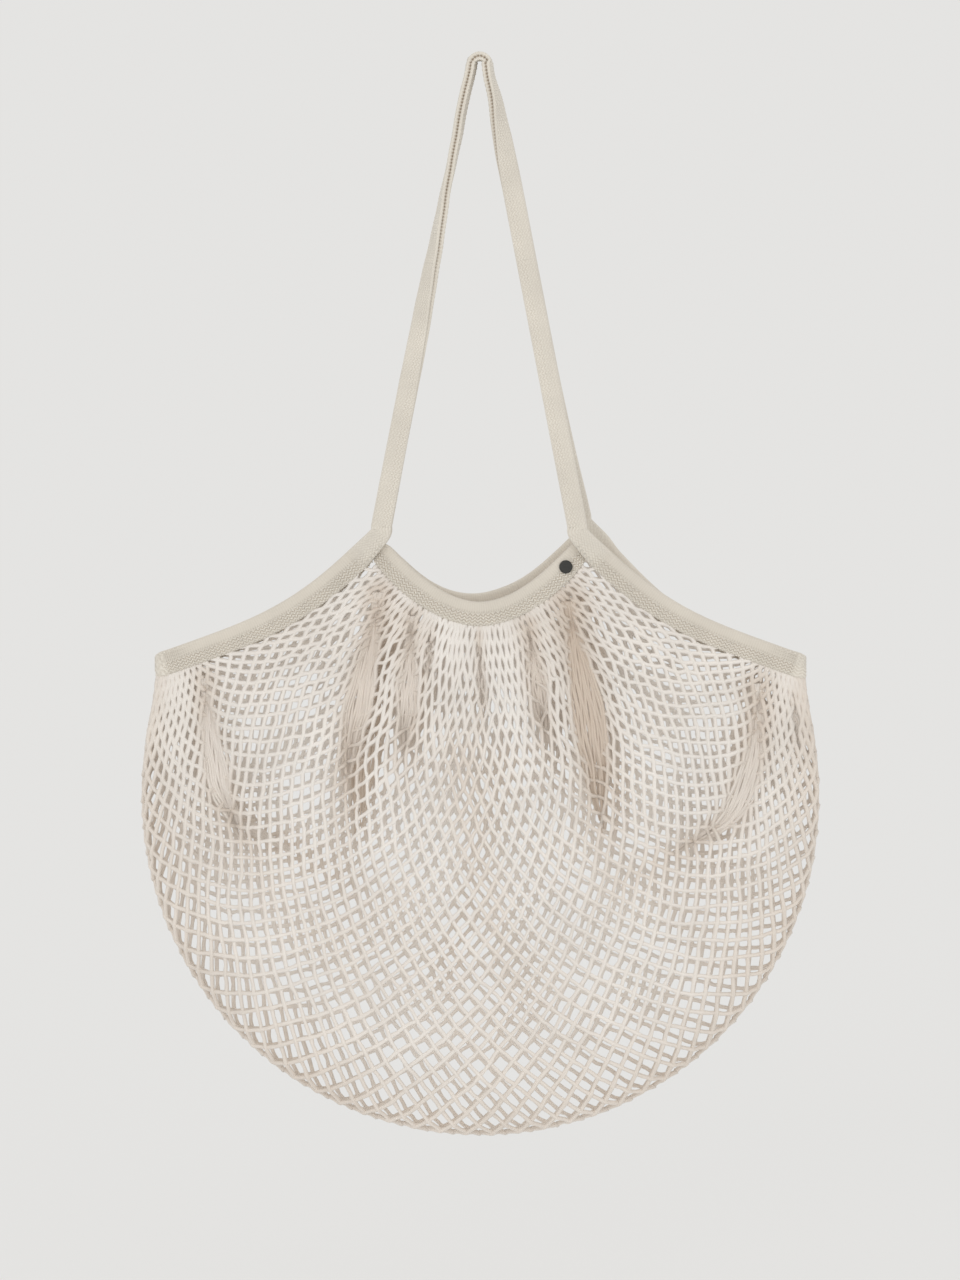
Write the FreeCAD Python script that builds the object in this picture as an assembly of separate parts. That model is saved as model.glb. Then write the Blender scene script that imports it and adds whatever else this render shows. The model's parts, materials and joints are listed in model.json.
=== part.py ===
"""Cotton net shoulder bag hanging by its two straps from a thin peg.

Millimetres, +Z up, +X to the bag's right-hand tip, -Y to the front.
The origin is the middle of the peg's axis, so the whole bag hangs below it.
Everything behind the XZ plane is the mirror image of what is in front of it.
"""
import FreeCAD, Part
import os
from math import atan, atan2, cos, pi, radians, sin, sqrt

Vec = FreeCAD.Vector

# --- Driving dimensions -------------------------------------------------------
peg_radius = 3.0            # thin peg or hook wire that the straps hang on
strap_width = 13.5          # knitted tape, folded flat
strap_thickness = 5.5
strap_gap = 1.0             # between the two straps on the peg
leg_slope = 11.0            # degrees each strap leg leans out from the vertical
twist_start = 0.03          # a leg turns from edge-on to flat over this share of its length
twist_reach = 0.60
hinge_z = -321.0            # height where a strap bends at its sewn foot
foot_length = 17.0          # sewn foot below the bend
foot_clearance = 0.3

tip_x = 221.0               # half the width between the two tips
tip_fold_length = 4.6       # the tape's turn round each tip
tip_rounding = 4.2
band_height = 16.5          # binding over the net's edge
band_thickness = 5.0
junction_x = 70.0           # where mouth band, side band and strap foot meet
joint_gap = 0.4             # between bands that meet end to end
overrun = 1.06              # bands are lofted this much too long, then cut to length

mouth_mid_z = -370.0        # mouth band's middle line at the bag's centre
mouth_rise = 45.0           # rise of that line from the centre to the junction
mouth_power = 1.9
side_line = [(70.0, -320.5), (88.0, -338.0), (128.0, -368.5), (167.0, -387.5),
             (206.0, -402.0), (221.0, -407.5)]   # side band's middle line, x and z

rim_y_tip = 3.2             # distance of the bindings' middle from the XZ plane
rim_y_swell = 15.0          # how much further out they are at the centre
rim_axis_z = -417.0         # the rim tilts about a line through both tips

net_thickness = 2.4         # closed skin that stands for the net
net_drop = 1.5              # below the binding's lower edge
junction_easing = 6.0       # the net's edge rounds the corner between the bindings
junction_easing_reach = 16.0
net_inset = 1.5             # inside the binding's middle surface
net_edge_y = 1.6            # the front and back net's distance from the XZ plane at the fold
net_top_half_width = 218.5
net_crowding = 0.12         # how much the net is gathered towards the tips, 0 to 0.5
belly_depth = 27.0          # how far the net swells beyond the bindings
belly_power = 0.75          # under 1 makes the swell flatter in its middle
belly_fade = 0.6            # the same, from tip to tip
top_fade = 0.6              # how fast the net leaves the bindings' distance from the XZ plane
side_corner = Vec(-228.0, 0.0, -470.0)   # outline point where the round bottom starts
bottom_centre_z = -498.0    # the round bottom is an ellipse about this height
bottom_half_width = 229.5
bottom_drop = 229.0
net_columns = 33
net_rows = 13

stud_x = 58.5               # small plain stud on the mouth band
stud_radius = 4.5
stud_height = 1.2
stud_post_radius = 1.0
backing_radius = 3.5
backing_height = 0.8

stitch_length = 9.0         # bar of stitches across a strap foot
stitch_width = 1.4
stitch_height = 0.5
stitch_drops = (4.0, 12.0)  # distances below the bend

tack_length = 10.0          # upright bar of stitches on each tip


# --- Curves that the pieces share ---------------------------------------------
side_curve = Part.BSplineCurve()
side_curve.interpolate([Vec(x, 0, z) for x, z in side_line])


def side_z(x):
    """Height of a side band's middle line at the distance x from the centre."""
    upright = Part.LineSegment(Vec(x, 0, -600), Vec(x, 0, 0))
    return side_curve.intersectCC(upright)[0].Z


def mouth_z(x):
    """Height of the mouth band's middle line at the distance x from the centre."""
    return mouth_mid_z + mouth_rise * (abs(x) / junction_x) ** mouth_power


def rim_y(x):
    """Distance of the bindings' middle from the XZ plane."""
    return rim_y_tip + rim_y_swell * cos(pi / 2 * min(abs(x) / tip_x, 1.0))


def slope_of(height, x, step=1.0):
    """Slope dz/dx of a height function."""
    return (height(x + step) - height(x - step)) / (2 * step)


# --- General makers -----------------------------------------------------------
def mirrored(shape):
    """The same piece behind the XZ plane."""
    return shape.mirror(Vec(0, 0, 0), Vec(0, 1, 0))


def flipped(shape):
    """The same piece on the other side of the YZ plane."""
    return shape.mirror(Vec(0, 0, 0), Vec(1, 0, 0))


def oval_wire(centre, long_axis, short_axis, long_radius, short_radius):
    """Closed ellipse about a centre, across a binding."""
    long_end = centre + long_axis * long_radius
    short_end = centre + short_axis * short_radius
    return Part.Wire([Part.Ellipse(long_end, short_end, centre).toShape()])


def rectangle_wire(centre, width_axis, thickness_axis, width, thickness):
    """Closed rectangle about a centre, across a strap."""
    half_width = width_axis * (width / 2)
    half_thickness = thickness_axis * (thickness / 2)
    corners = [centre + half_width + half_thickness,
               centre - half_width + half_thickness,
               centre - half_width - half_thickness,
               centre + half_width - half_thickness]
    return Part.makePolygon(corners + corners[:1])


def slab(low_x, high_x):
    """Everything between two planes across X, for cutting pieces to length."""
    return Part.makeBox(high_x - low_x, 400, 900, Vec(low_x, -200, -800))


def save(name, shape):
    """Write one node, and say what it holds."""
    shape.exportStep("parts/" + name + ".step")
    print("%-26s solids %d  valid %s  volume %.0f mm3"
          % (name, len(shape.Solids), shape.isValid(), shape.Volume))


# --- Bindings -----------------------------------------------------------------
def band(height, stations):
    """Binding along a height function, lofted through ovals square to its line."""
    wires = []
    for x in stations:
        tilt = atan(slope_of(height, x))
        across = Vec(-sin(tilt), 0, cos(tilt))
        centre = Vec(x, -rim_y(x), height(x))
        wires.append(oval_wire(centre, across, Vec(0, 1, 0), band_height / 2, band_thickness / 2))
    return Part.makeLoft(wires, True, False)


def mouth_band():
    """Binding between the two strap feet."""
    half = junction_x - joint_gap / 2
    stations = [half * overrun * k / 5 for k in range(-5, 6)]
    return band(mouth_z, stations).common(slab(-half, half))


def side_band():
    """Binding from the right-hand strap foot out to the tip."""
    start = junction_x + joint_gap / 2
    end = tip_x - tip_fold_length - joint_gap
    first = start + 2.0     # the tilted ovals at both ends reach past the cuts
    last = end + 2.0
    stations = [first + (last - first) * k / 8 for k in range(9)]
    return band(side_z, stations).common(slab(start, end))


def tip_fold():
    """The tape's turn round the right-hand tip, with the net's corner sewn in."""
    start_x = tip_x - tip_fold_length
    middle = Vec(start_x, 0, side_z(start_x))
    outer = rim_y_tip + band_thickness / 2
    block = Part.makeBox(tip_fold_length, 2 * outer, band_height,
                         middle - Vec(0, outer, band_height / 2))
    far_edges = [e for e in block.Edges
                 if abs(e.CenterOfMass.x - tip_x) < 0.01 and abs(e.CenterOfMass.y) > 1]
    return block.makeFillet(tip_rounding, far_edges)


def tip_tack():
    """Upright bar of stitches that closes the tip, on the outside of its fold."""
    middle_z = side_z(tip_x - tip_fold_length)
    return Part.makeBox(stitch_height, stitch_width, tack_length,
                        Vec(tip_x, -stitch_width / 2, middle_z - tack_length / 2))


# --- Net ----------------------------------------------------------------------
def net_top_z(x):
    """Height of the net's gathered edge, under the bindings, eased at the junction."""
    x = abs(x)
    slope = slope_of(mouth_z, x) if x < junction_x else slope_of(side_z, min(x, tip_x - 2))
    middle = mouth_z(x) if x < junction_x else side_z(min(x, tip_x))
    easing = junction_easing * max(0.0, 1 - abs(x - junction_x) / junction_easing_reach)
    return middle - band_height / 2 * sqrt(1 + slope ** 2) - net_drop - easing


def bottom_outline(share):
    """Point of the round bottom, from the left corner (0) round to the right one (1)."""
    rise = side_corner.z - bottom_centre_z
    start = pi - atan2(rise, sqrt(bottom_half_width ** 2 - rise ** 2))
    angle = start + share * (3 * pi - 2 * start)
    return Vec(bottom_half_width * cos(angle), 0, bottom_centre_z + bottom_drop * sin(angle))


def arch(share):
    """0 at both ends of 0..1, and 1 in the middle."""
    return max(0.0, sin(pi * share))


def net_point(across, down, offset):
    """Point of the front net: across 0..1 from tip to tip, down 0..1 from rim to fold."""
    start = net_crowding
    turn = pi * (start + (1 - 2 * start) * across)
    top_x = -net_top_half_width * cos(turn) / cos(pi * start)
    top = Vec(top_x, 0, net_top_z(top_x))
    flat = top * (1 - down) + bottom_outline(across) * down
    top_out = rim_y(top_x) - net_inset - net_edge_y if 0 < across < 1 else 0.0
    swell = belly_depth * arch(down) ** belly_power * arch(across) ** belly_fade
    out = net_edge_y + top_out * (1 - down) ** top_fade + swell
    return Vec(flat.x, -out - offset, flat.z)


def net_skin(offset):
    """One smooth face of the net."""
    rows = []
    for i in range(net_columns):
        across = i / (net_columns - 1)
        rows.append([net_point(across, j / (net_rows - 1), offset) for j in range(net_rows)])
    surface = Part.BSplineSurface()
    surface.interpolate(rows)
    return surface


def front_net():
    """Closed skin between an outer and an inner face, with a thin wall round its edge."""
    outer = net_skin(net_thickness / 2)
    inner = net_skin(-net_thickness / 2)
    faces = [outer.toShape(), inner.toShape()]
    u0, u1, v0, v1 = outer.bounds()
    borders = [(outer.uIso(u), inner.uIso(u)) for u in (u0, u1)]
    borders += [(outer.vIso(v), inner.vIso(v)) for v in (v0, v1)]
    for outside, inside in borders:
        faces.append(Part.makeRuledSurface(outside.toShape(), inside.toShape()))
    shell = Part.makeShell(faces)
    shell.sewShape()
    return Part.makeSolid(shell)


# --- Straps -------------------------------------------------------------------
saddle_angle = 90.0 - leg_slope
saddle_radius = peg_radius + strap_thickness / 2
strap_top_y = -(strap_gap + strap_width) / 2
foot_y = -(rim_y(junction_x) + band_thickness / 2 + foot_clearance + strap_thickness / 2)
hinge_y = foot_y - strap_thickness / 2 - foot_clearance
leg_direction = Vec(sin(radians(leg_slope)), 0, -cos(radians(leg_slope)))
leg_across = Vec(cos(radians(leg_slope)), 0, sin(radians(leg_slope)))
leg_start = Vec(saddle_radius * sin(radians(saddle_angle)), strap_top_y,
                saddle_radius * cos(radians(saddle_angle)))
leg_length = (leg_start.z - hinge_z) / cos(radians(leg_slope))


def smooth_step(value):
    """0 to 1 with level ends."""
    value = max(0.0, min(1.0, value))
    return value * value * (3 - 2 * value)


def leg_section(share):
    """Rectangle across the right-hand leg, edge-on at the peg and flat at the foot."""
    twist = pi / 2 * smooth_step((share - twist_start) / twist_reach)
    centre = leg_start + leg_direction * (leg_length * share)
    centre.y = strap_top_y + (foot_y - strap_top_y) * smooth_step(share)
    width_axis = Vec(0, 1, 0) * cos(twist) + leg_across * sin(twist)
    thickness_axis = Vec(0, -1, 0) * sin(twist) + leg_across * cos(twist)
    return rectangle_wire(centre, width_axis, thickness_axis, strap_width, strap_thickness)


def strap_leg():
    """Right-hand leg from the peg to the bend above its foot."""
    steps = 12
    return Part.makeLoft([leg_section(k / steps) for k in range(steps + 1)], True, False)


def strap_saddle():
    """The strap's turn over the peg."""
    start = Vec(0, strap_top_y - strap_width / 2, 0)
    ring = Part.makeCylinder(peg_radius + strap_thickness, strap_width, start, Vec(0, 1, 0))
    ring = ring.cut(Part.makeCylinder(peg_radius, strap_width, start, Vec(0, 1, 0)))
    reach = 40.0
    half_angle = radians(saddle_angle)
    wedge = Part.makePolygon([Vec(0, start.y, 0),
                              Vec(-reach * sin(half_angle), start.y, reach * cos(half_angle)),
                              Vec(0, start.y, reach * 2),
                              Vec(reach * sin(half_angle), start.y, reach * cos(half_angle)),
                              Vec(0, start.y, 0)])
    return ring.common(Part.Face(wedge).extrude(Vec(0, strap_width, 0)))


def front_strap():
    """Saddle and both legs, one tape."""
    leg = strap_leg()
    return strap_saddle().fuse([leg, flipped(leg)]).removeSplitter()


def foot_frame(distance):
    """Middle of the right-hand foot's tape at a distance below the bend."""
    top = leg_start + leg_direction * leg_length
    top.y = foot_y
    return top + leg_direction * distance


def strap_foot():
    """Sewn end of the strap, flat against the outside of the two bindings."""
    wires = [rectangle_wire(foot_frame(d), leg_across, Vec(0, -1, 0), strap_width, strap_thickness)
             for d in (foot_clearance, foot_length)]
    return Part.makeLoft(wires, True, True)


def foot_stitch(distance):
    """Bar of stitches across the right-hand foot."""
    out = Vec(0, -(strap_thickness + stitch_height) / 2, 0)
    wires = [rectangle_wire(foot_frame(distance + shift) + out, leg_across, Vec(0, -1, 0),
                            stitch_length, stitch_height)
             for shift in (-stitch_width / 2, stitch_width / 2)]
    return Part.makeLoft(wires, True, True)


def both_sides(shapes):
    """Right-hand pieces and their left-hand twins, as separate solids of one node."""
    return Part.makeCompound(shapes + [flipped(s) for s in shapes])


# --- Stud ---------------------------------------------------------------------
def stud_disc(radius, height, y):
    """Disc square to Y whose front face is at y."""
    return Part.makeCylinder(radius, height, Vec(stud_x, y, mouth_z(stud_x)), Vec(0, 1, 0))


band_front_y = -(rim_y(stud_x) + band_thickness / 2)
band_back_y = -(rim_y(stud_x) - band_thickness / 2)
stud_stand_off = 0.15       # the band curves back under the stud's rim


def stud():
    """Plain domed stud with its post."""
    cap = stud_disc(stud_radius, stud_height, band_front_y - stud_height - stud_stand_off)
    rim = [e for e in cap.Edges if e.CenterOfMass.y < band_front_y - stud_height]
    return cap.makeFillet(stud_height * 0.6, rim)


def stud_backing():
    """Small disc inside the band that the stud is riveted to."""
    return stud_disc(backing_radius, backing_height, band_back_y + stud_stand_off)


# --- Nodes --------------------------------------------------------------------
os.makedirs("parts", exist_ok=True)

net = front_net()
save("front_net", net)
save("back_net", mirrored(net))

right_band = side_band()
left_band = flipped(right_band)
middle_band = mouth_band()
save("front_mouth_band", middle_band)
save("back_mouth_band", mirrored(middle_band))
save("front_left_side_band", left_band)
save("front_right_side_band", right_band)
save("back_left_side_band", mirrored(left_band))
save("back_right_side_band", mirrored(right_band))

save("right_tip_fold", tip_fold())
save("left_tip_fold", flipped(tip_fold()))
save("right_tip_tack", tip_tack())
save("left_tip_tack", flipped(tip_tack()))

strap = front_strap()
save("front_strap", strap)
save("back_strap", mirrored(strap))
feet = both_sides([strap_foot()])
save("front_strap_feet", feet)
save("back_strap_feet", mirrored(feet))
stitches = both_sides([foot_stitch(d) for d in stitch_drops])
save("front_strap_stitches", stitches)
save("back_strap_stitches", mirrored(stitches))

save("stud", stud())
save("stud_backing", stud_backing())
print("strap hinge line: y %.2f, z %.2f" % (hinge_y, hinge_z))
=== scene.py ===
"""The looks of a cotton net shoulder bag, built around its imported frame."""
import json
from math import atan, cos, pi, radians, sin

import bpy
import numpy as np
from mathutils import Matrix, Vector


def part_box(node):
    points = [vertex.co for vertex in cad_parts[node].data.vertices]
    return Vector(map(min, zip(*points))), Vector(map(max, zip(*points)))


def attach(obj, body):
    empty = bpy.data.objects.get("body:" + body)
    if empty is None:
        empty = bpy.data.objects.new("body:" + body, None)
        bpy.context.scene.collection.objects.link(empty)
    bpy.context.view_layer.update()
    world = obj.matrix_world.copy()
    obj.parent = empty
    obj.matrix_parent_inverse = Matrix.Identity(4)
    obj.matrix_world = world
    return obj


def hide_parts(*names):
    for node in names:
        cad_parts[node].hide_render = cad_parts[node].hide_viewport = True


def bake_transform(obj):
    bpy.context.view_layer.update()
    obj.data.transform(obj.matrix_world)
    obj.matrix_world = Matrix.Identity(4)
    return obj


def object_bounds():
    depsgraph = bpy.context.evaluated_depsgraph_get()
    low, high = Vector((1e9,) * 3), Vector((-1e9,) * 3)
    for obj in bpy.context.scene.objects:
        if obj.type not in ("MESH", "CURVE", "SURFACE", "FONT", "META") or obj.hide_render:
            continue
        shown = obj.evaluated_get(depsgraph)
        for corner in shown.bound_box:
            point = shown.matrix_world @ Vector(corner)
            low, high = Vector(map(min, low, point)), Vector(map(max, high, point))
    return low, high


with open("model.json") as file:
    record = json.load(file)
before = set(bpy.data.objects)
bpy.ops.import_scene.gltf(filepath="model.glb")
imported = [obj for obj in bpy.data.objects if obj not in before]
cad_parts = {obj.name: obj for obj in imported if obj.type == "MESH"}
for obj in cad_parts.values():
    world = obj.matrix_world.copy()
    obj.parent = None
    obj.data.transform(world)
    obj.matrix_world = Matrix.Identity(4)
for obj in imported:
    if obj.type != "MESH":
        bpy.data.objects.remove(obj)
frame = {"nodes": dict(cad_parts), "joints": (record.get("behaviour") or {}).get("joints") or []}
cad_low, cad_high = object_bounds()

MM = 0.001
rng = np.random.default_rng(7)

# --- Sizes, in metres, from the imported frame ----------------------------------
net_low, net_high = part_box("front_net")
rim_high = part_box("front_mouth_band")[1]
fold_low, fold_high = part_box("right_tip_fold")
strap_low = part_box("front_strap")[0]
joints = {j["name"]: j for j in frame["joints"]}
strap_hinge = joints["front_strap_folds"]["pos_m"]

tip_x = fold_high.x
tip_start_x = fold_low.x
tip_z = (fold_low.z + fold_high.z) / 2
band_height = fold_high.z - fold_low.z
junction_x = rim_high.x + 0.2 * MM
bottom_z = net_low.z
body_half_width = net_high.x

# --- Sizes that the frame's pieces share with their solids --------------------
band_thickness = 5.0 * MM
rim_y_tip = 3.2 * MM
rim_y_swell = 15.0 * MM
mouth_mid_z = -370.0 * MM
mouth_rise = 45.0 * MM
mouth_power = 1.9
side_line = [(70.0, -320.5), (88.0, -338.0), (128.0, -368.5), (167.0, -387.5),
             (206.0, -402.0), (221.0, -407.5)]    # millimetres, x and z
strap_width = 13.5 * MM
strap_thickness = 5.5 * MM
peg_radius = 3.0 * MM
leg_slope = radians(11.0)


# --- Small helpers ------------------------------------------------------------
def smooth_step(value):
    """0 to 1 with level ends."""
    value = np.clip(value, 0.0, 1.0)
    return value * value * (3 - 2 * value)


def unit(vectors):
    """Vectors scaled to length 1."""
    return vectors / np.maximum(np.linalg.norm(vectors, axis=-1, keepdims=True), 1e-12)


def bump(distance, width):
    """A smooth hump, 1 at distance 0."""
    return np.exp(-(distance / width) ** 2)


def radians_list(*degrees):
    """Angles given in degrees, in radians."""
    return [radians(d) for d in degrees]


def spline(points, count):
    """Evenly spaced points on a smooth curve through a few given points."""
    points = np.array(points, float)
    ends = [2 * points[0] - points[1]], [2 * points[-1] - points[-2]]
    p = np.vstack([ends[0], points, ends[1]])
    t = np.linspace(0, 1, 24, endpoint=False)[:, None]
    runs = []
    for a, b, c, d in zip(p[:-3], p[1:-2], p[2:-1], p[3:]):
        runs.append(0.5 * (2 * b + (c - a) * t + (2 * a - 5 * b + 4 * c - d) * t ** 2
                           + (3 * b - a - 3 * c + d) * t ** 3))
    fine = np.vstack(runs + [points[-1:]])
    return even(fine, count)


def even(points, count):
    """The same line with its points evenly spaced."""
    steps = np.r_[0, np.cumsum(np.linalg.norm(np.diff(points, axis=0), axis=1))]
    wanted = np.linspace(0, steps[-1], count)
    return np.stack([np.interp(wanted, steps, points[:, k]) for k in range(points.shape[1])], 1)


def mesh_piece(name, points, faces):
    """A smooth-shaded mesh object from arrays, linked to the scene."""
    mesh = bpy.data.meshes.new(name)
    mesh.from_pydata([tuple(p) for p in points], [], [tuple(f) for f in faces])
    mesh.polygons.foreach_set("use_smooth", [True] * len(mesh.polygons))
    mesh.update()
    piece = bpy.data.objects.new(name, mesh)
    bpy.context.collection.objects.link(piece)
    return piece


def ring_faces(rings, sides):
    """Quads between rings of points, and caps at both ends."""
    a = np.arange(rings - 1)[:, None] * sides
    k = np.arange(sides)[None, :]
    n = (k + 1) % sides
    quads = np.stack([a + k, a + n, a + n + sides, a + k + sides], -1).reshape(-1, 4)
    faces = quads.tolist()
    faces.append(list(range(sides))[::-1])
    faces.append([(rings - 1) * sides + s for s in range(sides)])
    return faces


# --- Curves of the rim --------------------------------------------------------
side_points = np.array(side_line) * MM
side_fit = np.polyfit(side_points[:, 0], side_points[:, 1], 5)


def side_z(x):
    """Height of a side binding's middle line."""
    return np.polyval(side_fit, np.abs(x))


def mouth_z(x):
    """Height of the mouth binding's middle line."""
    return mouth_mid_z + mouth_rise * (np.abs(x) / junction_x) ** mouth_power


def rim_y(x):
    """Distance of the bindings' middle from the XZ plane."""
    return rim_y_tip + rim_y_swell * np.cos(pi / 2 * np.clip(np.abs(x) / tip_x, 0, 1))


def slope_of(height, x):
    """Slope of a height function."""
    step = 0.5 * MM
    return (height(x + step) - height(x - step)) / (2 * step)


# --- Net ----------------------------------------------------------------------
columns = 50                 # diamonds from tip to tip along the round bottom
rows = 20                    # diamonds from the mouth to the bottom
yarn_radius = 1.22 * MM
yarn_sides = 5               # of the tube that a thread is drawn as
knot_share = 0.17            # of a thread's step that lies in the knot at either end
strand_radius = 1.12 * MM    # of the cloth gathered in a fold
slot_depth = 7 * MM          # that threads crossing an open fold run behind it
tucked = 3.0 * MM            # how far the net's edge runs up inside the bindings
belly = 25.0 * MM
fold_reach = 45.0 * MM        # in from the outline, over which the cloth curves round it
back_shift = (-1.3 * MM, -3.5 * MM)  # of the back net, over the one column that sets it off
across_count = 2 * columns + 1
down_count = 2 * rows + 1


def outline(share):
    """Point of the net's fold, from the left tip round the bottom to the right tip."""
    centre_z = bottom_z + body_half_width
    corner_z = centre_z + 28 * MM
    start = pi - np.arcsin((corner_z - centre_z) / body_half_width)
    angles = np.linspace(start, 3 * pi - start, 400)
    arc = np.stack([body_half_width * np.cos(angles), centre_z + body_half_width * np.sin(angles)], 1)
    fall = np.array([[-(tip_x - 2 * MM), tip_z - 6 * MM], [-(tip_x + 0.5 * MM), tip_z - 26 * MM],
                     [-(tip_x + 4.5 * MM), tip_z - 46 * MM]])
    line = np.vstack([fall, arc, (fall * [-1, 1])[::-1]])
    steps = np.r_[0, np.cumsum(np.linalg.norm(np.diff(line, axis=0), axis=1))]
    return np.stack([np.interp(share * steps[-1], steps, line[:, k]) for k in (0, 1)], 1)


# Rows leave the side binding unevenly: bunched at the tip, open between tip and strap.
side_spread = np.array([(0, 0), (0.10, 0.16), (0.20, 0.36), (0.34, 0.64), (0.45, 0.78),
                        (0.70, 0.90), (1, 1)])


def net_borders():
    """The net's four edges in the XZ plane: mouth, bottom fold, left and right side."""
    across = np.linspace(0, 1, across_count)
    down = np.linspace(0, 1, down_count)
    inner = 0.97 * junction_x
    x = -inner + 2 * inner * across
    x = x + pleat_shift(across)
    low = mouth_z(x) - band_height / 2 * np.sqrt(1 + slope_of(mouth_z, x) ** 2) + tucked
    top = np.stack([x, low], 1)
    share = np.interp(down, side_spread[:, 0], side_spread[:, 1])
    x = inner + (tip_x - 2 * MM - inner) * share
    low = side_z(x) - band_height / 2 * np.sqrt(1 + slope_of(side_z, x) ** 2) + tucked
    right = np.stack([x, low], 1)
    bottom = outline(across)
    right[0] = top[-1]
    right[-1] = bottom[-1]
    left = right * [-1, 1]
    return top, bottom, left, right


def pleat_shift(across):
    """Uneven gathering of the columns along the mouth."""
    return 1.6 * MM * np.sin(across * 2 * pi * 8.5 + 0.6) * np.sin(pi * across)


def net_plane(top, bottom, left, right):
    """Lattice points in the XZ plane, evened out between their four edges."""
    across = np.linspace(0, 1, across_count)[:, None, None]
    down = np.linspace(0, 1, down_count)[None, :, None]
    grid = (1 - down) * top[:, None] + down * bottom[:, None]
    grid = grid + (1 - across) * left[None] + across * right[None]
    grid = grid - ((1 - across) * (1 - down) * top[0] + across * (1 - down) * top[-1]
                   + (1 - across) * down * bottom[0] + across * down * bottom[-1])
    for _ in range(200):
        middle = (grid[2:, 2:] + grid[:-2, :-2] + grid[2:, :-2] + grid[:-2, 2:]) / 4
        grid[1:-1, 1:-1] = (grid[1:-1, 1:-1] + middle) / 2
    return grid


# Folds of the front net: a line in the XZ plane, with the half width and depth of the gathered
# cloth in it, all in millimetres, the share of the line along which the fold is open, and how
# much painted shade the gathered cloth gets.
front_folds = [
    {"line": [(-68, -356), (-72, -385), (-82, -430), (-90, -475), (-94, -545)],
     "half": 7.0, "depth": 14, "reach": 0.80, "tone": 0.34},
    {"line": [(-46, -372), (-47, -400), (-50, -440), (-52, -490)], "half": 6.0, "depth": 11,
     "reach": 0.95, "tone": 0.26},
    {"line": [(-33, -380), (-35, -425)], "half": 2.2, "depth": 7, "reach": 1.0, "tone": 0.20},
    {"line": [(0, -382), (1, -420), (2, -455)], "half": 2.0, "depth": 8, "reach": 0.9, "tone": 0.20},
    {"line": [(33, -378), (37, -405), (43, -440), (50, -480)], "half": 5.5, "depth": 11,
     "reach": 0.9, "tone": 0.34},
    {"line": [(60, -362), (65, -395), (72, -430), (79, -475), (86, -545)], "half": 9.5, "depth": 17,
     "reach": 0.95, "tone": 0.62},
    {"line": [(-187, -415), (-184, -450), (-176, -490), (-158, -530), (-140, -560)], "half": 6.5,
     "depth": 10, "reach": 0.85, "tone": 0.20},
    {"line": [(190, -418), (188, -445), (184, -475), (166, -512), (112, -545), (84, -572)], "half": 7.5,
     "depth": 11, "reach": 0.80, "tone": 0.22},
    {"line": [(213, -424), (217, -475)], "half": 2.5, "depth": 6, "reach": 0.9, "tone": 0.10},
    {"line": [(-12, -470), (0, -540), (18, -600), (38, -665)], "half": 10.0, "depth": 6, "reach": 0.0,
     "tone": 0.0},
]


def fold_open(fold, share):
    """How wide open a fold is along its line, as a share of its half width."""
    if fold["reach"] == 0:
        return 0 * share
    grows = 0.30 + 0.70 * smooth_step(share / 0.40)
    return grows * (1 - smooth_step((share - 0.5 * fold["reach"]) / (0.5 * fold["reach"])))


def fold_gap(x, z, fold):
    """Distance of points from a fold's line, which side they lie on, and where along it."""
    line = spline(np.array(fold["line"]) * MM, 40)
    away_x = x[..., None] - line[:, 0]
    away_z = z[..., None] - line[:, 1]
    distance = np.sqrt(away_x ** 2 + away_z ** 2)
    nearest = distance.argmin(-1)
    gap = np.take_along_axis(distance, nearest[..., None], -1)[..., 0]
    sideways = np.take_along_axis(away_x, nearest[..., None], -1)[..., 0]
    return gap, sideways, nearest / 39


def fold_strength(share):
    """How strongly a fold is pressed in along its line; it fades over the lower half."""
    return 1 - 0.75 * smooth_step((share - 0.55) / 0.45)


def fold_push(fold, gap, share):
    """How far one fold pushes the cloth back at a distance from its line."""
    half = fold["half"] * MM
    parted = np.sqrt(gap ** 2 + (half * fold_open(fold, share)) ** 2)
    wide = 1.2 * half + 2.5 * MM
    pressed = bump(parted, wide) - 0.25 * bump(gap, 2.6 * wide)
    return fold["depth"] * MM * fold_strength(share) * pressed


def slot_dip(x, z, folds):
    """How far the threads that cross an open fold run behind the cloth gathered in it."""
    dip = np.zeros_like(x)
    for fold in folds:
        gap, _, share = fold_gap(x, z, fold)
        slot = np.maximum(fold["half"] * MM * fold_open(fold, share), 1e-6)
        opened = smooth_step(slot / (2 * MM))
        dip = np.maximum(dip, slot_depth * opened * np.clip(1.15 - (gap / slot) ** 2, 0, 1))
    return dip


def fold_depth(x, z, folds):
    """How far the folds push a point back, part it sideways, and how shaded they leave it."""
    push = np.zeros_like(x)
    part = np.zeros_like(x)
    shade = np.zeros_like(x)
    for fold in folds:
        half = fold["half"] * MM
        gap, sideways, share = fold_gap(x, z, fold)
        parted = np.sqrt(gap ** 2 + (half * fold_open(fold, share)) ** 2)
        push += fold_push(fold, gap, share)
        side = np.where(sideways >= 0, 1.0, -1.0)
        part += side * (parted - gap) * bump(gap, 2.2 * half + 4 * MM)
        # Painted shade along the fold, darker the deeper the fold.
        shaded = np.minimum(1, fold["depth"] / 13) * fold_strength(share) * 0.55
        shade += shaded * bump(parted, 1.5 * half)
    return push, part, np.clip(shade, 0, 1)


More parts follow.
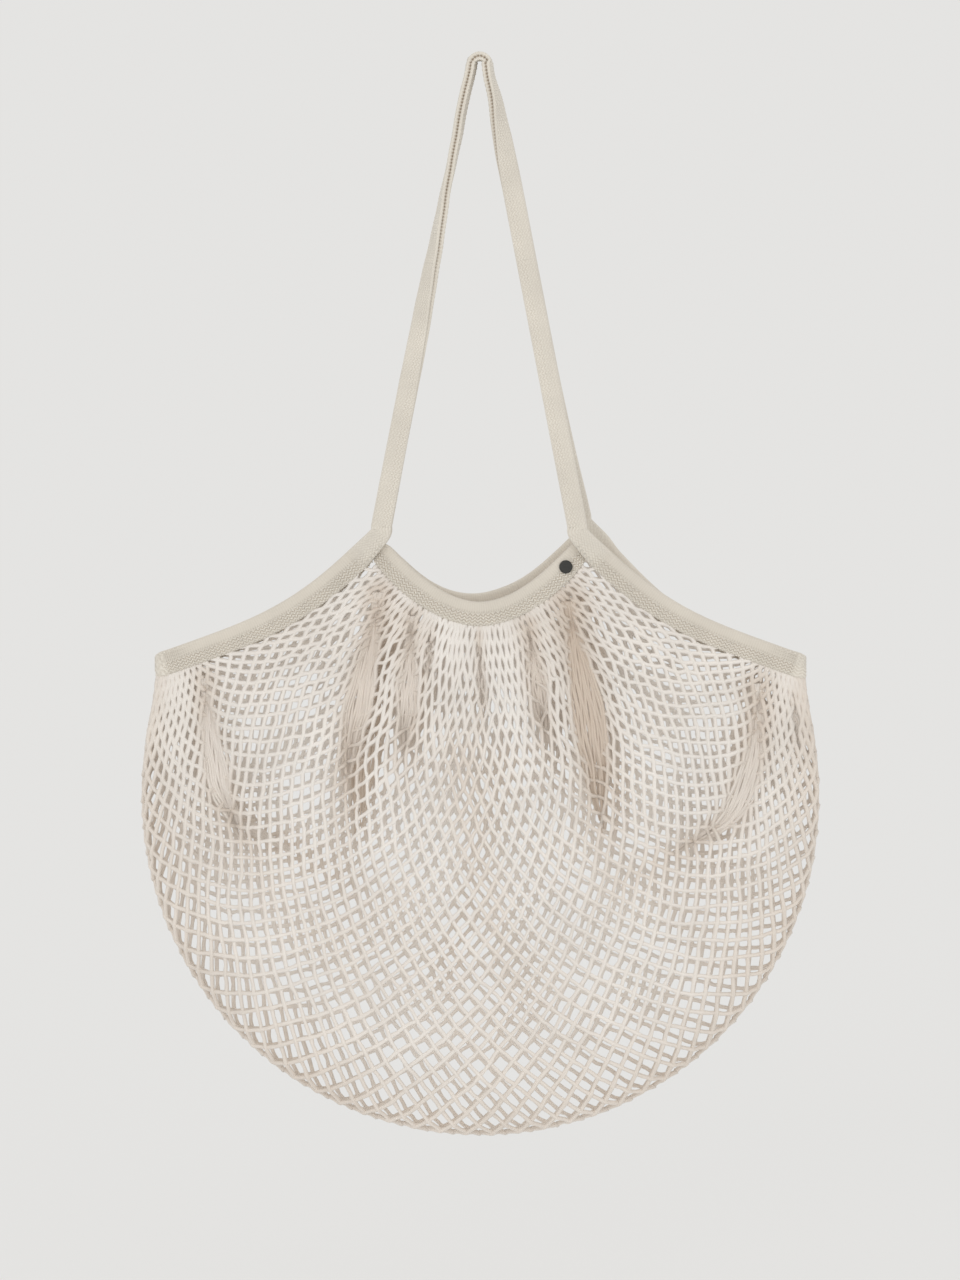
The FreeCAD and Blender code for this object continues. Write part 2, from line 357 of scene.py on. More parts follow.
def round_fold(plane):
    """Positions of the lattice after the cloth curves round its outline to the other side."""
    angles = np.linspace(0, pi / 2, 80)
    turned = np.empty_like(plane)
    stands_out = np.empty(plane.shape[:2])
    for i in range(across_count):
        ends = np.clip(sin(pi * i / (across_count - 1)), 0.02, 1) ** 0.45
        line = plane[i]
        steps = np.r_[0, np.cumsum(np.linalg.norm(np.diff(line, axis=0), axis=1))]
        reach = min(fold_reach, 0.6 * steps[-1]) * ends
        seen = reach * (1 - np.cos(angles))
        stands = belly * ends * np.sin(angles)
        arc = np.r_[0, np.cumsum(np.hypot(np.diff(seen), np.diff(stands)))]
        saved = arc[-1] - reach
        left = (steps[-1] + saved) * (1 - steps / steps[-1])
        seen_left = np.where(left < arc[-1], np.interp(left, arc, seen), left - saved)
        stands_out[i] = np.interp(left, arc, stands)
        for k in (0, 1):
            turned[i, :, k] = np.interp(steps[-1] - seen_left, steps, line[:, k])
    return turned, stands_out


def back_rim_rise(x):
    """How much higher the back rim hangs than the front one, on its right-hand half."""
    fall = smooth_step((x - 75 * MM) / (60 * MM))
    rise = 7.0 * MM * smooth_step((x + 55 * MM) / (76 * MM)) * (1 - 1.1 * fall) - 2.0 * MM
    return rise * smooth_step((tip_x - np.abs(x)) / (45 * MM))


def tuck_in(x):
    """How far the mouth binding's ends lie behind the long tape, 0 to 1."""
    return smooth_step((np.abs(x) - 52 * MM) / (16 * MM))


def binding_y(x):
    """Distance of the mouth binding's middle from the XZ plane."""
    return rim_y(x) - 3.0 * MM * tuck_in(x)


net_edges = net_borders()


def net_grid(folds, side):
    """Lattice of the front (side -1) or back (side 1) net, its level without folds, and its painted
    shade.
    """
    plane, round_out = round_fold(net_plane(*net_edges))
    for row, drawn in ((-2, 0.55), (-3, 0.30), (-4, 0.12)):
        plane[:, row] += drawn * (plane[:, row + 1] - plane[:, row])
    x, z = plane[..., 0], plane[..., 1]
    across = np.linspace(0, 1, across_count)[:, None] + 0 * x
    down = np.linspace(0, 1, down_count)[None, :] + 0 * x
    side_free = np.clip(np.minimum(across, 1 - across) * 14, 0, 1)
    free = np.clip(down * 8, 0, 1) * np.clip((1 - down) * 5, 0, 1) * side_free
    if side > 0:
        x = x + free * (np.vstack([x[1:], x[-1:]]) - x + back_shift[0])
        z = z + free * (np.vstack([z[1:], z[-1:]]) - z + back_shift[1])
        inward = np.minimum(down, np.minimum(across, 1 - across))
        z = z + back_rim_rise(x) * np.clip(1 - 2.5 * inward, 0, 1)
    held = np.where(down == 0, binding_y(x), rim_y(x))
    loose = smooth_step(down / 0.4) * smooth_step(np.minimum(across, 1 - across) / 0.12)
    loose = np.maximum(loose, np.clip(1 - (1 - down) * 8, 0, 1))
    stands_out = held * (1 - loose) + round_out * loose
    push, part, shade = fold_depth(x, z, folds)
    x = x + part * free
    depth = push * np.clip(down * 12, 0.3, 1) * np.clip((1 - down) * 5, 0, 1) * side_free
    slow = np.sin(x * 61 + z * 23) * np.sin(z * 47 - x * 19 + 1.0)
    out = np.maximum(stands_out - depth + 2.4 * MM * slow * free, 0.0)
    jitter = rng.normal(0, 1.0, (3,) + x.shape) * free * (0.25 + 0.25 * down) * MM
    jitter[1] *= 1 + 3.5 * (1 - smooth_step(down / 0.45))
    sway = 1.3 * MM * free
    loosely = rng.normal(0, 1, across_count + 4)
    loosely = np.convolve(loosely, np.ones(3) / 1.7, "same")[2:-2, None] * 3.2 * MM
    z = z + loosely * free * (1 - smooth_step(down / 0.5)) * np.sin(pi * across) ** 0.5
    x = x + jitter[0] + sway * np.sin(z * 95 + x * 30 + 2 * side) * np.cos(x * 55)
    z = z + jitter[1] + sway * np.sin(x * 85 - z * 40 + side) * np.cos(z * 50)
    out = out + 0.6 * jitter[2]
    # Painted shade, darker towards the bottom and strongest along the bottom fold.
    lower = 0.08 * smooth_step((down - 0.30) / 0.40) + 0.20 * smooth_step((down - 0.78) / 0.20)
    shade = np.maximum(shade, lower)
    # Slow blotches of painted shade, stronger on the back net, which lies behind.
    drift = np.sin(x * 37 + z * 11 + 2 * side) * np.sin(z * 29 - x * 13 + side)
    shade = np.clip(shade + (0.08 if side < 0 else 0.12) * smooth_step(0.5 + 0.9 * drift), 0, 1)
    return np.stack([x, side * out, z], -1), stands_out, shade


def thread_paths():
    """Both families of diagonal threads, as lists of lattice indices."""
    paths = []
    for step in (1, -1):
        for start in range(-down_count, across_count + down_count):
            run = [(start + step * j, j) for j in range(down_count)]
            run = [(i, j) for i, j in run if 0 <= i < across_count and (i + j) % 2 == 0]
            if len(run) > 1:
                paths.append(run)
    return paths


def surface_normals(grid, side):
    """Outward normals of the net's surface at its lattice points."""
    along = np.gradient(grid, axis=0)
    down = np.gradient(grid, axis=1)
    normals = unit(np.cross(along, down))
    flip = np.where(normals[..., 1:2] * side < 0, -1.0, 1.0)
    return normals * flip


def tube(points, normals, radii, sides):
    """Rings of points round a line."""
    along = unit(np.gradient(points, axis=0))
    first = unit(np.cross(along, normals))
    second = unit(np.cross(first, along))
    angles = np.arange(sides) * 2 * pi / sides
    ring = (first[:, None] * np.cos(angles)[None, :, None]
            + second[:, None] * np.sin(angles)[None, :, None])
    return points[:, None] + ring * radii[:, None, None]


def catmull(values, parts):
    """Smooth in-between values along a line of values."""
    first = 2 * values[:1] - values[1:2]
    last = 2 * values[-1:] - values[-2:-1]
    p = np.concatenate([first, values, last])
    t = (np.arange(parts) / parts)[None, :, None]
    a, b, c, d = (p[k:len(p) - 3 + k][:, None] for k in range(4))
    fine = 0.5 * (2 * b + (c - a) * t + (2 * a - 5 * b + 4 * c - d) * t ** 2
                  + (3 * b - a - 3 * c + d) * t ** 3)
    return np.concatenate([fine.reshape(-1, values.shape[1]), values[-1:]])


def knot_pulls(grid):
    """At each knot, how its two threads run side by side, and how bulky the slack yarn is."""
    over = np.gradient(grid, axis=0)
    under = np.gradient(grid, axis=1)
    wide = np.linalg.norm(over, axis=-1, keepdims=True)
    tall = np.linalg.norm(under, axis=-1, keepdims=True)
    upright = unit(under) * np.clip(0.13 * (tall - wide), 0, 1.4 * MM)
    flatwise = unit(over) * np.clip(0.10 * (wide - tall), 0, 0.8 * MM)
    puffed = np.clip((46 * MM * MM / np.maximum(wide * tall, 1e-9)) ** 0.40, 1.03, 1.20)[..., 0]
    return upright, flatwise, puffed


def pleat_strands(grid, level, side, folds):
    """Strands of the cloth that is gathered into the bottom of each fold."""
    flat = grid.reshape(-1, 3)
    height = level.ravel()
    for fold in folds:
        if fold["reach"] == 0:
            continue
        whole = spline(np.array(fold["line"]) * MM, 100)
        kept = int(100 * fold["reach"] * 0.97)
        line, share = whole[:kept:3], np.arange(kept)[::3] / 99
        half = fold["half"] * MM * fold_open(fold, share)
        count = int(np.ceil(2.1 * fold["half"] / 1.5)) + 1
        for k in range(count):
            aside = 2 * k / (count - 1) - 1
            phase = rng.uniform(0, 2 * pi)
            end = int(len(line) * rng.uniform(0.84, 1.0))
            x = line[:, 0] + aside * (half + 1.0 * MM) + 0.60 * MM * np.sin(share * 30 + phase)
            z = line[:, 1]
            gap = (flat[None, :, 0] - x[:, None]) ** 2 + (flat[None, :, 2] - z[:, None]) ** 2
            y = height[gap.argmin(1)]
            y = np.convolve(np.r_[y[:2], y, y[-2:]], np.ones(5) / 5, "valid")
            sunk = fold_push(fold, np.abs(aside) * half, share) + (1.6 + 1.2 * (1 - aside ** 2)) * MM
            y = y - sunk * np.clip(0.3 + share * 8, 0, 1) + 0.5 * MM * np.sin(share * 31 + 2 * phase)
            near_end = share / share[end - 1]
            y = np.maximum(y - 7.0 * MM * smooth_step((near_end - 0.62) / 0.38), 0.5 * MM)
            thin = 1 - 0.6 * smooth_step((near_end - 0.85) / 0.15)
            # The strands carry their fold's painted shade.
            yield np.stack([x, side * y, z], 1)[:end], strand_radius * thin[:end], fold["tone"]


def net_piece(name, grid, level, painted_net_shade, side, folds):
    """The whole net half as yarn that meets at its lattice points in long, soft knots."""
    normals = surface_normals(grid, side)
    upright, flatwise, puffed = knot_pulls(grid)
    sides = yarn_sides
    points, faces, tint = [], [], []
    count = 0
    for run in thread_paths():
        i, j = np.array(run).T
        knots = grid[i, j]
        step = knots[1:] - knots[:-1]
        way_down = np.sign(np.sum(step * upright[i[:-1], j[:-1]], 1, keepdims=True) + 1e-15)
        way_over = np.sign(np.sum(step * flatwise[i[:-1], j[:-1]], 1, keepdims=True) + 1e-15)
        leave = (knots[:-1] + knot_share * step
                 + way_down * upright[i[:-1], j[:-1]] + way_over * flatwise[i[:-1], j[:-1]])
        reach = (knots[1:] - knot_share * step
                 - way_down * upright[i[1:], j[1:]] - way_over * flatwise[i[1:], j[1:]])
        middle = (leave + reach) / 2 + rng.normal(0, 0.22 * MM, leave.shape)
        line = np.stack([knots[:-1], leave, middle, reach], 1).reshape(-1, 3)
        line = np.vstack([line, knots[-1:]])
        at = np.linspace(0, len(run) - 1, len(line))
        normal = np.stack([np.interp(at, np.arange(len(run)), normals[i, j, k]) for k in range(3)], 1)
        # Painted shade of the net, carried to each point of the thread.
        painted_shade = np.interp(at, np.arange(len(run)), painted_net_shade[i, j])
        if j[-1] == down_count - 1:
            line[-1, 1] = 0.0
        bulk = np.interp(at, np.arange(len(run)), puffed[i, j] * (1 + 0.27 * j / down_count))
        fluffed = np.interp(at, np.arange(len(run)), puffed[i, j])
        open_cell = 1 - smooth_step((fluffed - 1.03) / 0.15)
        over_under = 0.35 if run[1][0] > run[0][0] else -0.35
        weave = over_under * np.cos(pi * np.arange(len(line)) / 4) * yarn_radius * (0.3 + 0.7 * open_cell)
        line = line + unit(normal) * weave[:, None]
        behind = slot_dip(line[:, 0], line[:, 2], folds)
        line[:, 1] = side * np.maximum(side * line[:, 1] - behind, 0)
        near = np.abs((np.arange(len(line)) + 2) % 4 - 2) / 2.0
        thick = 1.0 + open_cell * (0.10 - 0.20 * near)
        radii = yarn_radius * thick * bulk * (1 + rng.normal(0, 0.07, len(line)))
        rings = tube(line, unit(normal), radii, sides)
        points.append(rings.reshape(-1, 3))
        tint.append(np.repeat(painted_shade, sides))
        faces += [[count + k for k in f] for f in ring_faces(len(line), sides)]
        count += len(line) * sides
    for line, radius, painted_shade in pleat_strands(grid, level, side, folds):
        rings = tube(line, np.tile([0.0, side, 0.0], (len(line), 1)), radius, sides)
        points.append(rings.reshape(-1, 3))
        tint.append(np.full(len(line) * sides, painted_shade))
        faces += [[count + k for k in f] for f in ring_faces(len(line), sides)]
        count += len(line) * sides
    piece = mesh_piece(name, np.concatenate(points), faces)
    shade_layer(piece, np.concatenate(tint))
    return piece


def shade_layer(piece, values):
    """Store one number a point, the amount of painted shade for the material to tint with."""
    # The painted shade is stored under the name depth.
    layer = piece.data.attributes.new("depth", "FLOAT", "POINT")
    layer.data.foreach_set("value", np.asarray(values, np.float32))


# --- Knitted tape and bindings --------------------------------------------------
leg_cos, leg_sin = cos(leg_slope), sin(leg_slope)
saddle_radius = peg_radius + strap_thickness / 2
strap_top_y = -(1.0 * MM + strap_width) / 2
foot_y = strap_low.y + strap_thickness / 2
leg_out = np.array([leg_cos, 0.0, leg_sin])
leg_down = np.array([leg_sin, 0.0, -leg_cos])
leg_start = np.array([saddle_radius * leg_cos, strap_top_y, saddle_radius * leg_sin])
leg_length = (leg_start[2] - strap_hinge[2]) / leg_cos


def side_state(x):
    """Middle, width direction, width and thickness of the tape on the side slope."""
    tilt = atan(slope_of(side_z, x))
    return [x, -rim_y(x), side_z(x), -sin(tilt), 0.0, cos(tilt), band_height, band_thickness]


def leg_state(share, twist_start, twist_reach, first_twist):
    """The same on a strap leg, edge-on at the peg (0) and flat at the foot (1)."""
    turn = smooth_step((share - twist_start) / twist_reach)
    twist = first_twist + (pi / 2 - first_twist) * turn
    middle = leg_start + leg_down * leg_length * share
    middle[0] -= 0.9 * MM * bump(share - 0.025, 0.03)
    middle[1] = strap_top_y + (foot_y - strap_top_y) * smooth_step(share)
    wide = np.array([0.0, 1.0, 0.0]) * cos(twist) + leg_out * sin(twist)
    return [*middle, *wide, strap_width, strap_thickness]


def saddle_state(angle):
    """The same where the strap turns over the peg; angle 0 is the top."""
    return [saddle_radius * sin(angle), strap_top_y, saddle_radius * cos(angle),
            0.0, 1.0, 0.0, strap_width, strap_thickness]


def tape_half(twist_start, twist_reach, first_twist):
    """Right-hand half of the long tape, from its tip up to the top of the peg."""
    states = [side_state(x) for x in np.linspace(tip_start_x - 0.4 * MM, 82 * MM, 26)]
    states += [leg_state(share, twist_start, twist_reach, first_twist)
               for share in np.linspace(0.985, 0.0, 60)]
    states += [saddle_state(radians(a)) for a in np.linspace(66, 0, 6)]
    return np.array(states)


def sweep_states(states, spacing):
    """Evenly spaced states on a smooth line through the given ones."""
    fine = catmull(states, 8)
    steps = np.r_[0, np.cumsum(np.linalg.norm(np.diff(fine[:, :3], axis=0), axis=1))]
    wanted = np.arange(0, steps[-1], spacing)
    return np.stack([np.interp(wanted, steps, fine[:, k]) for k in range(fine.shape[1])], 1), wanted


# One section of the tape, from its folded edge over the shown face to its open edge and back.
# Each point is a share of half the width, plus millimetres, and a share of half the thickness.
lip = [(-1, 0.55, 0.97), (-1, 0.15, 0.82), (-1, 0.0, 0.55), (-1, 0.25, 0.26)]
section = [(1, -1.9 + 1.9 * cos(a), sin(a)) for a in radians_list(0, 22, 45, 68)]
section += [(1 - 1.0 * k / 6, -1.9 * (1 - k / 6), 1.0) for k in range(6)]
section += [(-k / 21, 1.1 * k / 21, 1.0) for k in range(21)]
section += lip + [(-1, 1.9, 0.0)] + [(a, b, -c) for a, b, c in lip[::-1]]
section += [(-1 + 2 * k / 9, 1.1 - 3.0 * k / 9, -1.0) for k in range(10)]
section += [(1, -1.9 + 1.9 * cos(a), -sin(a)) for a in radians_list(68, 45, 22)]
section = np.array(section)
section_count = len(section)
groove = bump((np.arange(section_count) - 35.0), 1.25)
row_pitch = 2.15 * MM        # of the zigzag rows across the tape
zigzag_pitch = 3.4 * MM      # and along it
stitch_pitch = 2.3 * MM      # of the stitch line in the tape's groove


def zigzag(value):
    """A triangle wave between -1 and 1, one a unit."""
    return 4 * np.abs(value - np.floor(value) - 0.5) - 1


def knit_height(along, wide):
    """Relief of the knit: zigzag rows that run along the tape, between -1 and 1."""
    wave = np.cos(2 * pi * (wide / row_pitch + 0.42 * zigzag(along / zigzag_pitch)))
    tuck = np.cos(4 * pi * along / zigzag_pitch)
    return 0.8 * wave + 0.2 * tuck


def sweep_tape(name, states, lengths, rolled, relief, side, groove_shade=0.0):
    """A folded knit tape, its shown face outwards, with a rolled edge and zigzag knit below it, and
    painted shade in its grooves.
    """
    middle, wide = states[:, :3], unit(states[:, 3:6])
    along = unit(np.gradient(middle, axis=0))
    wide = unit(wide - along * np.sum(wide * along, 1, keepdims=True))
    thick = np.cross(along, wide) * side
    rolled, relief = rolled[:, None], relief[:, None]
    width = states[:, 6:7] / 2 * section[:, 0] + section[:, 1] * MM
    share = width / (states[:, 6:7] / 2)
    half = states[:, 7:8] / 2
    upper = smooth_step((share - 0.05) / 0.2)
    swell = 0.20 * bump(share - 0.55, 0.38) - 0.06 * bump(share - 0.02, 0.12)
    depth = half * section[:, 2] * (1 + rolled * swell)
    on_face = np.clip(np.abs(section[:, 2]) * 1.6 - 0.6, 0, 1) * (1 - groove)
    knit = knit_height(lengths[:, None] + 0.9 * MM * (section[:, 2] < 0), width)
    rib = np.cos(2 * pi * lengths[:, None] / (1.7 * MM)) * 0.16
    pattern = knit * (1 - rolled * upper) + rib * rolled * upper
    depth = depth + np.sign(section[:, 2]) * pattern * relief * on_face
    beat = 1 + 0.30 * np.cos(2 * pi * lengths / stitch_pitch)
    width = width + groove * 0.3 * MM * beat[:, None]
    wobble = 0.16 * MM * np.sin(lengths * 95 + 0.5) + 0.10 * MM * np.sin(lengths * 241)
    depth = depth + wobble[:, None]
    points = middle[:, None] + wide[:, None] * width[..., None] + thick[:, None] * depth[..., None]
    faces = ring_faces(len(middle), section_count)
    if side < 0:
        faces = [face[::-1] for face in faces]
    piece = mesh_piece(name, points.reshape(-1, 3), faces)
    # Painted shade in the knit's grooves; where the tape is smooth, a little darker all over.
    dark = np.clip(0.5 - 0.5 * pattern * on_face, 0, 1) * np.clip(relief / (0.6 * MM), 0, 1) * 0.48
    dark = dark + 0.10 * (1 - np.clip(relief / (0.6 * MM), 0, 1))
    # Painted shade along the groove of the open edge, darker at each stitch.
    stitch = 0.5 + 0.5 * np.cos(2 * pi * lengths / stitch_pitch)
    groove_shadow = np.broadcast_to(groove_shade, len(middle)) * (0.30 + 0.70 * stitch)
    dark = np.maximum(dark, groove[None] * groove_shadow[:, None])
    shade_layer(piece, dark.ravel())
    return piece


def long_tape(name, side):
    """The tape that binds both slopes and is the strap, on the front (-1) or the back (1)."""
    right = tape_half(0.0, 0.30, 0.18)
    left = tape_half(0.10, 0.74, -0.14) * [-1, 1, 1, -1, 1, 1, 1, 1]
    states = np.vstack([right[:-1], left[::-1]])
    states, lengths = sweep_states(states, 0.58 * MM)
    on_slope = smooth_step((strap_hinge[2] - 0.3 * band_height - states[:, 2]) / (14 * MM))
    near_tip = smooth_step((np.abs(states[:, 0]) - (tip_x - 34 * MM)) / (22 * MM))
    if side > 0:
        x, z = states[:, 0].copy(), states[:, 2].copy()
        low = smooth_step((-0.20 - z) / 0.12) * (x > 0)
        states[:, 2] += back_rim_rise(x) * smooth_step((-0.26 - z) / 0.06)
        states[:, 0] += 2.5 * MM * low * (1 - on_slope) - 1.2 * MM * (x < 0) * (1 - on_slope)
    # The open edge's groove gets painted shade near the top, fading down the strap.
    near_top = 1 - smooth_step((-0.05 - states[:, 2]) / 0.20)
    states[:, 1] *= -side
    states[:, 4] *= -side
    relief = (0.30 + 0.42 * on_slope) * MM
    return sweep_tape(name, states, lengths, on_slope * (1 - near_tip), relief, side, near_top)


def mouth_binding(name, side):
    """The binding between the strap feet, its ends tucked in behind the long tape."""
    states = []
    for x in np.linspace(junction_x + 0.5 * MM, -junction_x - 0.5 * MM, 45):
        tilt = atan(slope_of(mouth_z, x))
        rise = back_rim_rise(x) if side > 0 else 0.0
        trimmed = band_height * 0.42 * smooth_step((abs(x) - 66.0 * MM) / (6 * MM))
        middle = [x + sin(tilt) * trimmed / 2, -binding_y(x),
                  mouth_z(x) + rise - cos(tilt) * trimmed / 2]
        width = band_height * (1 - 0.10 * tuck_in(x)) - trimmed
        thickness = band_thickness * (1 - 0.2 * tuck_in(x))
        states.append([*middle, -sin(tilt), 0, cos(tilt), width, thickness])
    states, lengths = sweep_states(np.array(states), 0.5 * MM)
    states[:, 1] *= -side
    whole = np.ones(len(states))
    return sweep_tape(name, states, lengths, whole, 0.70 * MM * whole, side)


def seam_stitches(name, side, tape):
    """Short stitches through the long tape that hold the mouth binding's ends."""
    points, faces = [], []
    bends, sides = 7, 6
    skin = np.array([v.co[:] for v in tape.data.vertices])
    for hand in (-1, 1):
        for k in range(6):
            share = k / 5
            foot = np.array([(66.5 + 10.5 * share) * MM, 0, (-324.5 - 12.5 * share) * MM])
            across = np.array([0.80, 0, 0.60])
            run = []
            for t in np.linspace(-1, 1, bends):
                p = foot + across * 1.5 * MM * t
                rise = back_rim_rise(hand * p[0]) if side > 0 else 0.0
                at = np.array([hand * p[0], p[2] + rise])
                gap = np.hypot(skin[:, 0] - at[0], skin[:, 2] - at[1])
                close = np.argsort(gap)[:40]
                front = (side * skin[close, 1]).max() + 0.35 * MM * (1 - t * t) - 0.15 * MM
                run.append([at[0], side * front, at[1]])
            run = np.array(run)
            normal = np.tile([0.0, side * 1.0, 0.0], (bends, 1))
            rings = tube(run, normal, np.full(bends, 0.33 * MM), sides)
            first = len(points) * bends * sides
            faces += [[first + v for v in f] for f in ring_faces(bends, sides)]
            points.append(rings.reshape(-1, 3))
    return mesh_piece(name, np.concatenate(points), faces)


def tip_turn(name, hand):
    """The tape's turn round a tip, from the front slope to the back one."""
    reach = tip_x - band_thickness / 2
    half = rim_y(tip_start_x)
    turn = [(tip_start_x - 3.5 * MM, half), (tip_start_x - 0.5 * MM, half),
            (reach - 0.7 * MM, 0.62 * half), (reach, 0.0), (reach - 0.7 * MM, -0.62 * half),
            (tip_start_x - 0.5 * MM, -half), (tip_start_x - 3.5 * MM, -half)]
    width, thickness = band_height - 0.4 * MM, band_thickness + 0.5 * MM
    states = [[hand * x, -y * hand, side_z(x), 0, 0, 1, width, thickness] for x, y in turn]
    states, lengths = sweep_states(np.array(states), 0.45 * MM)
    whole = np.ones(len(states))
    return sweep_tape(name, states, lengths, 0 * whole, 0.36 * MM * whole, hand)


# --- Materials ----------------------------------------------------------------
def material(name, color, painted_shade=None, roughness=0.9, sheen=0.3, painted_glow=0.0):
    """A fibrous cotton with slight colour drift and a fine fibre bump; given a darker colour, it mixes
    that in by the stored number as painted shade, and given a glow, it has a faint painted glow of its
    own that brightens its shaded sides, in place of the light that scatters inside loose yarn."""
    made = bpy.data.materials.new(name)
    made.use_nodes = True
    nodes, links = made.node_tree.nodes, made.node_tree.links
    shader = nodes["Principled BSDF"]
    shader.inputs["Roughness"].default_value = roughness
    shader.inputs["Sheen Weight"].default_value = sheen
    shader.inputs["Sheen Roughness"].default_value = 0.5
    shader.inputs["Specular IOR Level"].default_value = 0.2
    place = nodes.new("ShaderNodeTexCoord")
    cloudy = nodes.new("ShaderNodeTexNoise")
    cloudy.inputs["Scale"].default_value = 28.0
    cloudy.inputs["Detail"].default_value = 4.0
    ramp = nodes.new("ShaderNodeValToRGB")
    ramp.color_ramp.elements[0].position = 0.3
    ramp.color_ramp.elements[1].position = 0.7
    ramp.color_ramp.elements[0].color = tuple(c * 0.93 for c in color) + (1,)
    ramp.color_ramp.elements[1].color = tuple(min(1, c * 1.03) for c in color) + (1,)
    links.new(place.outputs["Object"], cloudy.inputs["Vector"])
    links.new(cloudy.outputs["Fac"], ramp.inputs["Fac"])
    if painted_shade is None:
        links.new(ramp.outputs["Color"], shader.inputs["Base Color"])
    else:
        # The stored number mixes the darker colour in: painted shade.
        stored = nodes.new("ShaderNodeAttribute")
        stored.attribute_name = "depth"
        tint = nodes.new("ShaderNodeMix")
        tint.data_type = "RGBA"
        tint.inputs["B"].default_value = painted_shade + (1,)
        links.new(stored.outputs["Fac"], tint.inputs["Factor"])
        links.new(ramp.outputs["Color"], tint.inputs["A"])
        links.new(tint.outputs["Result"], shader.inputs["Base Color"])
        # Painted glow: the surface gives off a faint light in its own tinted colour.
        links.new(tint.outputs["Result"], shader.inputs["Emission Color"])
        shader.inputs["Emission Strength"].default_value = painted_glow
    fibre = nodes.new("ShaderNodeTexNoise")
    fibre.inputs["Scale"].default_value = 1400.0
    fibre.inputs["Detail"].default_value = 3.0
    relief = nodes.new("ShaderNodeBump")
    relief.inputs["Strength"].default_value = 0.35
    relief.inputs["Distance"].default_value = 0.4 * MM
    links.new(place.outputs["Object"], fibre.inputs["Vector"])
    links.new(fibre.outputs["Fac"], relief.inputs["Height"])
    links.new(relief.outputs["Normal"], shader.inputs["Normal"])
    return made


# Each second colour is the colour of painted shade; the yarn's glow is a painted glow.
yarn = material("cotton_yarn", (0.78, 0.742, 0.698), (0.50, 0.385, 0.28), painted_glow=0.11)
tape_knit = material("rib_knit", (0.84, 0.80, 0.72), (0.26, 0.17, 0.09))
thread = material("stitch_thread", (0.68, 0.645, 0.575))
dark_metal = material("dark_metal", (0.05, 0.05, 0.047), roughness=0.4, sheen=0.0)
dark_metal.node_tree.nodes["Principled BSDF"].inputs["Metallic"].default_value = 0.6


def finish_piece(piece, look):
    """Give a piece its material."""
    piece.data.materials.clear()
    piece.data.materials.append(look)


# --- Build the nets -----------------------------------------------------------
front_net = net_piece("front_net_yarn", *net_grid(front_folds, -1), -1, front_folds)
back_folds = [dict(f, line=[(-x, z) for x, z in f["line"]]) for f in front_folds]
back_net = net_piece("back_net_yarn", *net_grid(back_folds, 1), 1, back_folds)
for piece, side, node, rim in ((front_net, -1, "front_net", "front_rim"),
                               (back_net, 1, "back_net", "back_rim")):
    finish_piece(piece, yarn)
    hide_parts(node)
    # The cut is the whole rectangle. area is the yarn alone, since a net is mostly holes, and was
    # fitted to the net as drawn here.
    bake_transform(piece)

for side, word in ((-1, "front"), (1, "back")):
    tape = long_tape(word + "_long_tape", side)
    finish_piece(tape, tape_knit)
    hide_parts(word + "_strap", word + "_strap_feet", word + "_left_side_band",
                word + "_right_side_band")
    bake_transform(tape)
    binding = mouth_binding(word + "_mouth_binding", side)
    finish_piece(binding, tape_knit)
    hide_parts(word + "_mouth_band")
    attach(binding, word + "_rim")
    seam = seam_stitches(word + "_seam_thread", side, tape)
    finish_piece(seam, thread)
    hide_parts(word + "_strap_stitches")
    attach(seam, word + "_rim")
for hand, word in ((-1, "left"), (1, "right")):
    cap = tip_turn(word + "_tip_turn", hand)
    finish_piece(cap, tape_knit)
    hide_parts(word + "_tip_fold")
    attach(cap, "bag")

shown_nodes = ("stud", "stud_backing", "left_tip_tack", "right_tip_tack")
for node in shown_nodes:
    obj = frame["nodes"][node]
    look = dark_metal if node.startswith("stud") else thread
    obj.data.materials.clear()
    obj.data.materials.append(look)


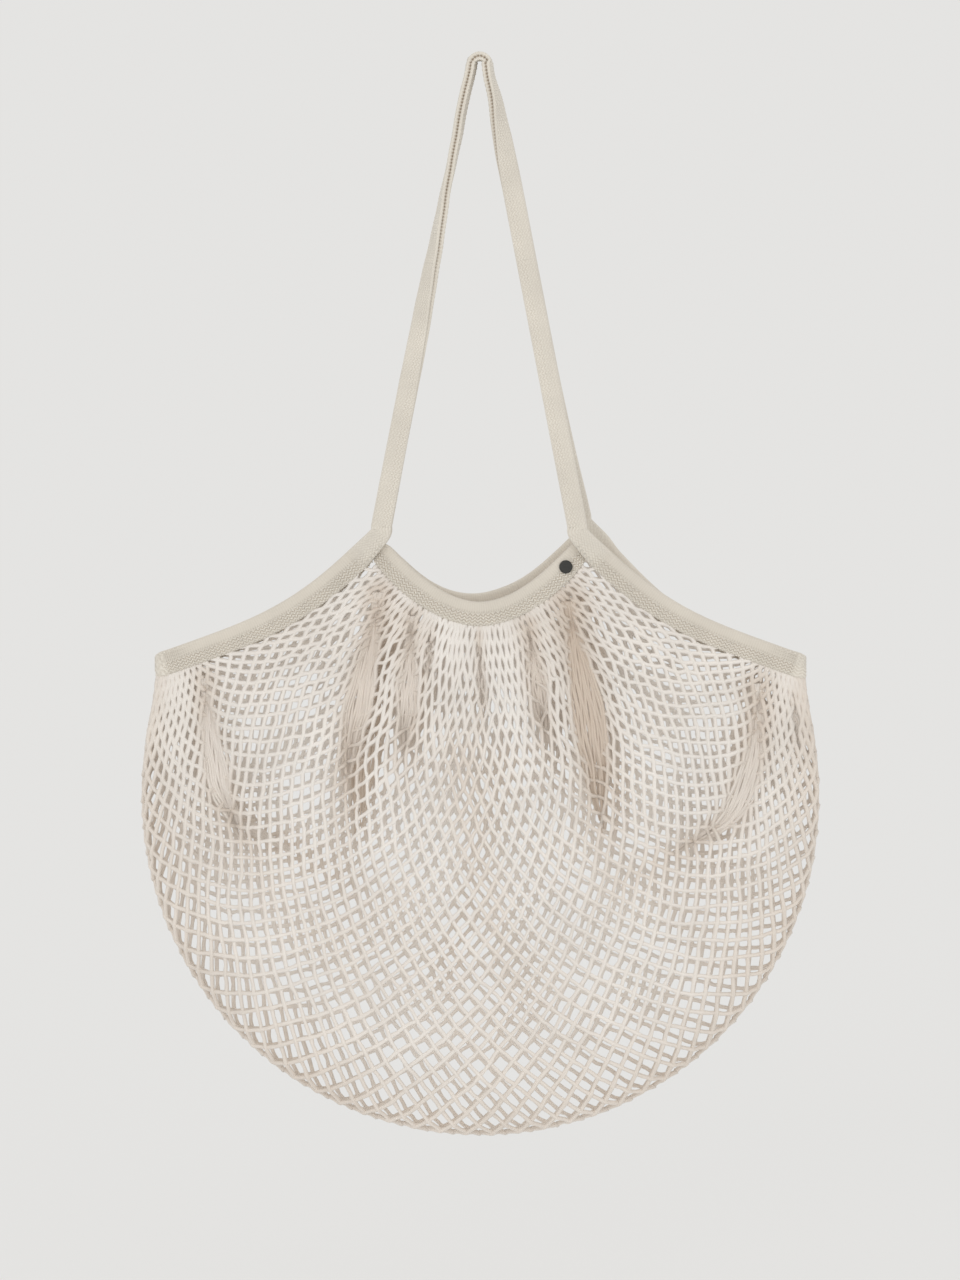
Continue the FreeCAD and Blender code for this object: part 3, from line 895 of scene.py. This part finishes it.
# --- Floor, light and camera --------------------------------------------------
def plain(name, color):
    """A plain matt surface for the surroundings."""
    made = bpy.data.materials.new(name)
    made.use_nodes = True
    shader = made.node_tree.nodes["Principled BSDF"]
    shader.inputs["Base Color"].default_value = color + (1,)
    shader.inputs["Roughness"].default_value = 1.0
    shader.inputs["Specular IOR Level"].default_value = 0.0
    return made


floor_z = cad_low.z - 0.12
half = 6.0
floor = mesh_piece("floor", [(-half, -half, floor_z), (half, -half, floor_z),
                             (half, half, floor_z), (-half, half, floor_z)], [(0, 1, 2, 3)])
pale = plain("pale_floor", (0.30, 0.295, 0.29))
pale_shader = pale.node_tree.nodes["Principled BSDF"]
pale_shader.inputs["Emission Color"].default_value = (0.7245, 0.7245, 0.716, 1)
pale_shader.inputs["Emission Strength"].default_value = 0.73
floor.data.materials.append(pale)

world = bpy.data.worlds.new("studio")
bpy.context.scene.world = world
world.use_nodes = True
world.node_tree.nodes["Background"].inputs["Color"].default_value = (0.78, 0.774, 0.76, 1)
world.node_tree.nodes["Background"].inputs["Strength"].default_value = 1.0


def soft_light(name, place, spread, strength):
    """A wide soft light that shines from a direction."""
    light = bpy.data.lights.new(name, "SUN")
    light.angle = radians(spread)
    light.energy = strength
    lamp = bpy.data.objects.new(name, light)
    lamp.rotation_euler = Vector(place).to_track_quat("Z", "Y").to_euler()
    bpy.context.collection.objects.link(lamp)


soft_light("key", (-0.55, -1.9, 0.55), 32, 0.50)
soft_light("fill", (0.9, -1.7, 0.15), 50, 0.32)

camera_data = bpy.data.cameras.new("camera")
camera_data.sensor_fit = "VERTICAL"
camera_data.sensor_height = 24.0
camera_data.lens = 100.0
camera = bpy.data.objects.new("camera", camera_data)
bpy.context.collection.objects.link(camera)
bpy.context.scene.camera = camera
frame_height = 0.870
target = Vector((0.0, 0.0, -0.389))
azimuth, elevation = radians(1.5), radians(4.0)
distance = frame_height * camera_data.lens / camera_data.sensor_height
away = Vector((sin(azimuth) * cos(elevation), -cos(azimuth) * cos(elevation), sin(elevation)))
camera.location = target + away * distance
camera.rotation_euler = (-away).to_track_quat("-Z", "Y").to_euler()

bpy.context.scene.view_settings.view_transform = "Standard"
